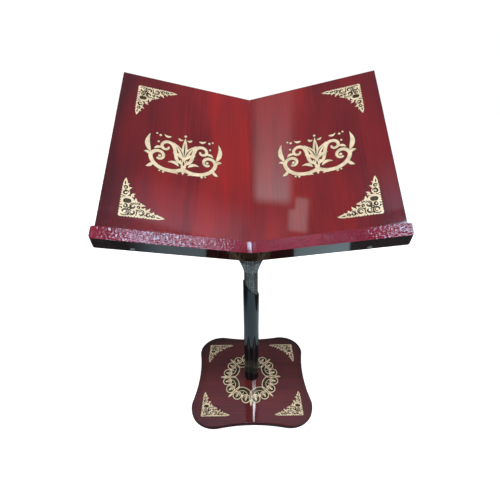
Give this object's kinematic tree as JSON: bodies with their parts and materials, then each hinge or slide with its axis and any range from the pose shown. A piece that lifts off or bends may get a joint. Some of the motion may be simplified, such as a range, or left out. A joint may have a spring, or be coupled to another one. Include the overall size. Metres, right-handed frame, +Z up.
{
  "type": "quran stand",
  "caption": "Book stand: two wooden reading boards set in a V with a ledge, on a tilting head and a telescopic post over a scalloped base.",
  "frame": {"origin": "centre of the pad under the base, on the post's axis, at the floor", "axes": "+Z up along the post, -Y towards the reader, +X to the reader's right"},
  "size_m": [0.4836, 0.3325, 0.6968],
  "materials": {
    "board_laminate": "high-gloss mahogany laminate on fibreboard",
    "base_laminate": "high-gloss dark mahogany laminate on fibreboard",
    "ledge_foil": "wood strip wrapped in glossy maroon film with a fine orange-peel texture",
    "dark_edge": "glossy dark edge band",
    "gold_foil": "pale gold foil",
    "black_enamel": "gloss black enamel",
    "tube_steel": "worn grey steel tube",
    "zinc_steel": "zinc-plated fasteners",
    "plug_steel": "turned mild steel",
    "brass": "turned brass insert",
    "black_nylon": "moulded nylon",
    "white_nylon": "moulded nylon washer",
    "knob_plastic": "moulded hand knob",
    "pad_foam": "soft closed-cell foam sheet"
  },
  "bodies": {
    "stand": {"base_pad": "pad_foam", "base_board": "base_laminate", "base_edging": "dark_edge", "base_ring_ornament": "gold_foil", "base_corner_ornaments": "gold_foil", "base_washer": "zinc_steel", "base_bolt": "zinc_steel", "bottom_plug": "plug_steel", "outer_tube": "black_enamel", "guide_bush": "black_nylon", "clamp_boss": "black_enamel"},
    "clamp_screw": {"clamp_stud": "zinc_steel", "clamp_knob": "knob_plastic"},
    "riser": {"inner_tube": "tube_steel", "lower_guide": "black_nylon", "top_plug": "plug_steel", "slip_washer": "white_nylon", "swivel_bolt": "zinc_steel", "swivel_washer": "zinc_steel", "swivel_nut": "zinc_steel"},
    "head": {"head_socket": "tube_steel", "tilt_bolt": "zinc_steel", "tilt_washer": "zinc_steel"},
    "tilt_knob": {"tilt_knob": "knob_plastic", "knob_insert": "brass"},
    "tray": {"tilt_channel": "black_enamel", "spacer_sleeve": "zinc_steel", "friction_washers": "white_nylon", "saddle_plate": "black_enamel", "saddle_screws": "zinc_steel", "left_board": "board_laminate", "right_board": "board_laminate", "left_edging": "dark_edge", "right_edging": "dark_edge", "left_ledge": "ledge_foil", "right_ledge": "ledge_foil", "ledge_screws": "zinc_steel", "left_corner_ornaments": "gold_foil", "right_corner_ornaments": "gold_foil", "left_centre_ornament": "gold_foil", "right_centre_ornament": "gold_foil"}
  },
  "joints": [
    {"name": "height", "type": "slide", "parent": "stand", "child": "riser", "axis": [0, 0, 1], "range_m": [-0.025, 0.095]},
    {"name": "swivel", "type": "hinge", "parent": "riser", "child": "head", "pos_m": [0, 0, 0.36], "axis": [0, 0, 1], "continuous": true},
    {"name": "tilt", "type": "hinge", "parent": "head", "child": "tray", "pos_m": [0, 0, 0.44], "axis": [1, 0, 0], "range_deg": [-25, 30]},
    {"name": "tilt_knob_turn", "type": "hinge", "parent": "head", "child": "tilt_knob", "pos_m": [0.02, 0, 0.44], "axis": [1, 0, 0], "continuous": true},
    {"name": "clamp_knob_turn", "type": "hinge", "parent": "stand", "child": "clamp_screw", "pos_m": [0, 0.02, 0.2445], "axis": [0, 1, 0], "continuous": true}
  ]
}
